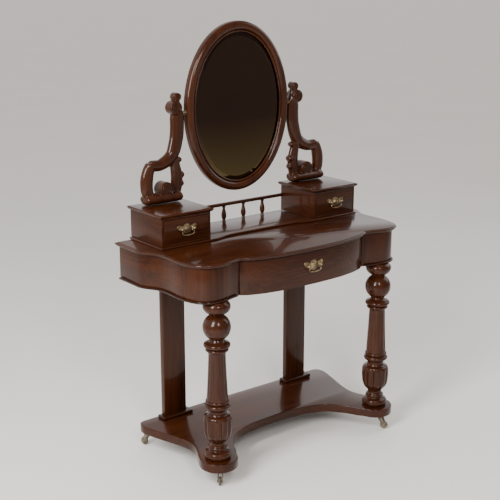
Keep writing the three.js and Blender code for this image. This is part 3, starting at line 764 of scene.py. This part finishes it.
def drum(bm, x, z, radius, length):
    """A short barrel lying front to back, with rounded rims."""
    made = bmesh.ops.create_cone(
        bm, cap_ends=True, segments=48, radius1=radius * MM, radius2=radius * MM, depth=length * MM,
        matrix=at(x, z) @ Matrix.Rotation(pi / 2, 4, "X"),
    )
    soften_ends(bm, made, axis=1, radius=3, segments=4)


def bolster(bm, side):
    """The rounded foot that the carving stands on, lying along the lid."""
    size = Matrix.Diagonal((FOOT["length"] * MM, FOOT["depth"] * MM, FOOT["height"] * MM, 1))
    made = bmesh.ops.create_cone(
        bm, cap_ends=True, segments=40, radius1=0.5, radius2=0.5, depth=1,
        matrix=at(side * FOOT["x"], FOOT["z"] - 0.5) @ size @ Matrix.Rotation(pi / 2, 4, "Y"),
    )
    soften_ends(bm, made, axis=0, radius=10, segments=5)


def ball(bm, x, z, radius, stretch, rings):
    """A ball stretched along x, y and z."""
    bmesh.ops.create_uvsphere(
        bm, u_segments=rings[0], v_segments=rings[1], radius=radius * MM,
        matrix=at(x, z) @ Matrix.Diagonal((*stretch, 1)),
    )


def limb(bm, side, line, depth):
    """A carved limb: an oval section that keeps its depth while its width follows the drawing."""
    path = curve_through([(side * x, r, z) for x, z, r in line], 4)
    bar = bmesh.new()
    rope(bar, [(p.x * MM, 0, p.z * MM) for p in path], [p.y * MM for p in path], sides=20)
    for vert in bar.verts:
        nearest = min(path, key=lambda p: (p.x * MM - vert.co.x) ** 2 + (p.z * MM - vert.co.z) ** 2)
        vert.co.y = vert.co.y * min(depth / nearest.y, MOST_DEEPENED) + BRACKET_Y * MM
    add_to(bm, bar)


print("a bracket stands", round(BRACKET_Y), "mm behind the middle")

# %% [markdown]
# The drawing of a bracket is a few points on each limb, as (across, up, half width) in millimetres from
# the table's middle and the floor. The limbs are swept through them, so the drawing stays short. Each
# scroll adds its radius and its length front to back, each knob its half sizes and each bump its
# radius. A rib is a shift across the leaf and a thickness.

# %% The drawing of a bracket
C_LIMB = [
    (352, 892, 17), (368, 905, 19), (378, 922, 22), (380.5, 943, 23), (379.5, 963, 23.5), (375, 984, 22.5),
    (369, 1003, 20), (367, 1020, 12),
]
ARM = [
    (366, 1012, 17), (350, 1009, 19.5), (330, 1008, 20), (311, 1014, 21.5), (292, 1024, 23),
    (276, 1039, 24), (267, 1058, 25.5), (260, 1082, 26), (255, 1108, 26.5), (253.5, 1135, 26.5),
    (253.5, 1162, 26.5), (252, 1180, 23), (250, 1192, 15), (249, 1206, 9), (251, 1220, 8), (256, 1232, 8),
]
LEAF = [
    (270, 892, 20), (266, 908, 22), (262, 926, 23), (259, 944, 23), (258, 960, 23), (260, 976, 22),
    (263, 992, 20), (267, 1008, 19), (272, 1024, 18), (278, 1038, 14),
]
LIMBS = [(C_LIMB, 17.5), (ARM, 17.5), (LEAF, 14)]
SCROLLS = [(312, 925, 28.5, 46), (266, 1197, 24, 42), (258, 1233, 15.5, 30)]
KNOBS = [(370, 898, (22, 29, 19)), (268, 898, (20, 29, 19))]
BUMPS = [(249, 1020, 10), (242, 968, 12), (243, 938, 11)]
BUMP_SHAPE = (1, 1.4, 1)
RIBS = [(-9, 2.2), (0, 2.6), (9, 2.2)]
print("drawing:", sum(len(line) for line, depth in LIMBS), "points on", len(LIMBS), "limbs")

# %% Spirals and ribs
VOLUTE = {"turns": 2.2, "steps": 60, "wire": 2.2, "eye": 1.2}
RIB_OUT = 12.6


def volute(bm, x, z, radius, y, side):
    """A raised spiral on the end of a scroll, thinning towards its eye."""
    line, radii = [], []
    for i in range(VOLUTE["steps"] + 1):
        t = i / VOLUTE["steps"]
        angle = pi / 2 + side * VOLUTE["turns"] * 2 * pi * t
        reach = (radius - VOLUTE["wire"]) * (1 - t) ** 0.85 + VOLUTE["eye"] * t
        line.append(((x + reach * cos(angle)) * MM, y * MM, (z + reach * sin(angle)) * MM))
        radii.append(VOLUTE["wire"] * (1 - 0.55 * t) * MM)
    rope(bm, line, radii, sides=8)


def leaf_rib(bm, side, face, shift, wire):
    """One raised vein of the leaf, thickest half way along."""
    y = (BRACKET_Y + face * RIB_OUT) * MM
    line = curve_through([(side * (x + shift * r / 20) * MM, y, z * MM) for x, z, r in LEAF[1:7]], 4)
    last = len(line) - 1
    radii = [wire * MM * (0.35 + sin(pi * i / last)) for i in range(last + 1)]
    rope(bm, line, radii, sides=8)


print("volute turns:", VOLUTE["turns"])


# %% The brackets
def bracket(side):
    rough = bmesh.new()
    for line, depth in LIMBS:
        limb(rough, side, line, depth)
    bolster(rough, side)
    for x, z, radius, length in SCROLLS:
        drum(rough, side * x, z, radius - 1, length - 2)
    for x, z, half_sizes in KNOBS:
        ball(rough, side * x, z, 1, half_sizes, (24, 16))
    for x, z, radius in BUMPS:
        ball(rough, side * x, z, radius, BUMP_SHAPE, (20, 12))
    bm = skinned(rough)
    for face in (-1, 1):
        for x, z, radius, length in SCROLLS:
            volute(bm, side * x, z, radius - 1, BRACKET_Y + face * length / 2, side)
        for shift, wire in RIBS:
            leaf_rib(bm, side, face, shift, wire)
    return bm


for hand, side in SIDES.items():
    piece = show(bracket(side), f"mirror_bracket_{hand}", mahogany_z, smooth=50)
print("bracket:", len(piece.data.polygons), "faces")

# %% [markdown]
# ## Mirror
# The frame is a bold half-round roll with a small flat slip next to the glass. Its section is spun
# once round the mirror's axis as a circle, and the circle is then drawn out to an oval. The plate is
# old bevelled glass, so its rim slopes for about 18 mm and catches the light on its own.

# %% The oval
low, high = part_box("mirror_frame")
OVAL = {"half_width": (high.x - low.x) / 2 / MM, "half_height": (high.z - low.z) / 2 / MM}
OVAL_MIDDLE = (low + high) / 2
CIRCLE = 1.0
SEAM = 1e-5


def oval(section_points, close):
    """Spins (inset, y) points in millimetres, then stretches the circle so each inset stays true."""
    bm = bmesh.new()
    verts = [bm.verts.new((inset * MM, y * MM, 0)) for inset, y in section_points]
    pairs = list(zip(verts, verts[1:])) + ([(verts[-1], verts[0])] if close else [])
    edges = [bm.edges.new(pair) for pair in pairs]
    bmesh.ops.translate(bm, vec=(CIRCLE, 0, 0), verts=verts)
    bmesh.ops.spin(
        bm, geom=verts + edges, cent=(0, 0, 0), axis=(0, 1, 0), angle=2 * pi, steps=144, use_merge=True,
    )
    for vert in bm.verts:
        out = hypot(vert.co.x, vert.co.z)
        inset = out - CIRCLE
        x, z = vert.co.x / out, vert.co.z / out
        vert.co.x = OVAL_MIDDLE.x + x * max(0.0, OVAL["half_width"] * MM + inset)
        vert.co.z = OVAL_MIDDLE.z + z * max(0.0, OVAL["half_height"] * MM + inset)
    tidy(bm, gap=SEAM)
    return bm


print("oval:", round(2 * OVAL["half_width"]), "by", round(2 * OVAL["half_height"]), "mm")

# %% Mirror frame
FRONT, BACK = low.y / MM, high.y / MM
ROLL = {"middle": -16, "half_width": 15.5, "height": 12.5}
glass_low, glass_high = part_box("mirror_glass")
GLASS_FRONT, GLASS_BACK = glass_low.y / MM, glass_high.y / MM

roll = [
    (ROLL["half_width"] * cos(radians(a)) + ROLL["middle"], FRONT + ROLL["height"] * (1 - sin(radians(a))))
    for a in range(0, 181, 12)
]
FRAME_SECTION = [
    (-0.5, BACK - 2), (-0.1, BACK - 8), *roll, (-31.6, FRONT + 9), (-32.6, FRONT + 6.2),
    (-34.2, FRONT + 5.2), (-36.4, FRONT + 5.6), (-38, FRONT + 7.5), (-38, GLASS_FRONT - 0.6),
    (-32.2, GLASS_FRONT - 0.4), (-32, BACK - 0.5), (-31, BACK), (-3, BACK),
]
show(oval(FRAME_SECTION, close=True), "mirror_frame", mahogany_z, smooth=40)
print("mirror frame section:", len(FRAME_SECTION), "points")

# %% Glass and pivots
RIM = OVAL["half_width"] - (glass_high.x - glass_low.x) / 2 / MM
BEVEL = {"width": 18.4, "depth": 2.1}
glass = [
    (-OVAL["half_width"], GLASS_FRONT), (-RIM - BEVEL["width"] - 0.6, GLASS_FRONT),
    (-RIM - BEVEL["width"], GLASS_FRONT + 0.15), (-RIM, GLASS_FRONT + BEVEL["depth"]), (-RIM, GLASS_BACK),
    (-OVAL["half_width"], GLASS_BACK),
]
show(oval(glass, close=False), "mirror_glass", mirror_finish, smooth=3)
for hand in SIDES:
    node = f"mirror_pivot_{hand}"
    show(ease(copy_of(node), 0.4 * MM), node, aged_brass, smooth=40)
print("bevel:", BEVEL["width"], "mm wide")

# %% [markdown]
# ## Handles
# Each handle is cast: a small shaped plate with two scrolled wings and a domed boss, two posts, and a
# swan-necked bail that swings in them. The raised lines are thin bars laid on the plate. The frame
# gives the plate's outline, and its edge is softened as casting and years of rubbing leave it.

# %% Scrolls and bosses
HANDLES = {"main": 1.08, "left": 1.0, "right": 1.0}
BAIL_WIRE = 1.8
HALF_SPAN, POST_OUT = 25, 11
SPIRAL = {"steps": 22, "out": 2.6}


def handle_place(name):
    """Half way between the bail's two pivots, on the back of the plate."""
    bail_low, bail_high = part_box(f"{name}_handle_bail")
    plate_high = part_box(f"{name}_handle_plate")[1]
    return Vector(((bail_low.x + bail_high.x) / 2, plate_high.y, bail_high.z - BAIL_WIRE * MM))


def spiral(bm, place, x, z, radius, start, turns, wire):
    line, radii = [], []
    for i in range(SPIRAL["steps"] + 1):
        t = i / SPIRAL["steps"]
        angle = start + turns * 2 * pi * t
        reach = radius * (1 - 0.85 * t)
        point = ((x + reach * cos(angle)) * MM, -SPIRAL["out"] * MM, (z + reach * sin(angle)) * MM)
        line.append(place @ Vector(point))
        radii.append(wire * (1 - 0.3 * t) * MM)
    rope(bm, line, radii, sides=8)


def dome(bm, place, profile):
    """A turned boss whose axis points out of the drawer front, from (radius, out) pairs."""
    lathe = turned(profile, (0, 0, 0), steps=40)
    bmesh.ops.transform(lathe, matrix=place @ Matrix.Rotation(pi / 2, 4, "X"), verts=lathe.verts)
    add_to(bm, lathe)


print("handles:", len(HANDLES))

# %% Handle plates
BOSS = [
    (0, 1.4), (10.8, 1.4), (10.6, 2.8), (9.6, 3.2), (8.8, 3.4), (8.8, 4), (8.2, 5), (6.2, 7), (3.2, 8.6),
    (0, 9.2),
]
POST = [
    (0, 1.4), (5, 1.4), (4.6, 2.6), (2.7, 4), (2.9, 7.4), (4.4, 8.8), (4.9, 11), (4.4, 13.2), (2.6, 15.4),
    (0, 16.0),
]


def handle_plate(name, scale):
    place = Matrix.Translation(handle_place(name))
    bm = ease(copy_of(f"{name}_handle_plate"), 0.55 * MM, sharp=40, segments=2)
    dome(bm, place, [(radius * scale, out) for radius, out in BOSS])
    for side in SIDES.values():
        wing, curl = side * 31.5 * scale, side * 17 * scale
        spiral(bm, place, wing, 6.5 * scale, 5.2 * scale, pi / 2 - side * 0.3, side * -1.1, 1.0)
        spiral(bm, place, curl, -1.5 * scale, 4.6 * scale, -pi / 2, side * 1.0, 0.9)
        dome(bm, place @ Matrix.Translation((side * HALF_SPAN * scale * MM, 0, 0)), POST)
    return bm


print("posts stand", POST[-1][1], "mm out")


# %% Bails and finished handles
def bail(name, scale):
    """Follows the frame's swan-necked line, thicker at the knuckles and at the middle of the grip."""
    origin = handle_place(name)
    x = HALF_SPAN * scale
    half = [
        (x + 1, 0), (x - 4, 0), (x - 8, -1.5), (x - 8.5, -5.5), (x - 3, -9), (x - 1, -13.5),
        (x - 7, -18.5), (8, -20),
    ]
    right = [(a, -POST_OUT, b) for a, b in half]
    left = [(-a, y, b) for a, y, b in reversed(right)]
    line = curve_through([*right, (0, -POST_OUT, -21), *left], 5)
    swell = [1.5 + 0.9 * (1 - abs(p.x) / x) ** 2 + (0.5 if p.z > -2 else 0) for p in line]
    bm = bmesh.new()
    rope(bm, [origin + p * MM for p in line], [s * MM for s in swell], sides=12)
    tidy(bm)
    return bm


for name, scale in HANDLES.items():
    show(handle_plate(name, scale), f"{name}_handle_plate", aged_brass, smooth=40)
    show(bail(name, scale), f"{name}_handle_bail", aged_brass, smooth=60)
print("plates and bails:", len(HANDLES), "of each")

# %% [markdown]
# ## Castors
# A castor is a cast horn that turns in a plate screwed under the shelf, and a small wheel on a pin.
# Nothing on it is sharp after a century of floors, so the frame's own shapes are simply eased.

# %% Castors
CASTOR_EASE = {"plate": 0.6, "horn": 0.9, "wheel": 0.7}
CORNERS = ("front_left", "front_right", "back_left", "back_right")
for corner in CORNERS:
    for part, radius in CASTOR_EASE.items():
        node = f"castor_{part}_{corner}"
        show(ease(copy_of(node), radius * MM), node, castor_metal, smooth=40)
print("castors:", len(CORNERS))

# %% [markdown]
# ## The last look
# The finished table is held against the box of the plain one it was measured from. Both boxes are
# kept side by side, and how far the finer pieces grew at the far corner is printed.

# %% Sizes
shown_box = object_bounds()
growth = [round((b - a) / MM, 1) for a, b in zip(cad_box[1], shown_box[1])]
print("growth at the far corner, mm:", growth)
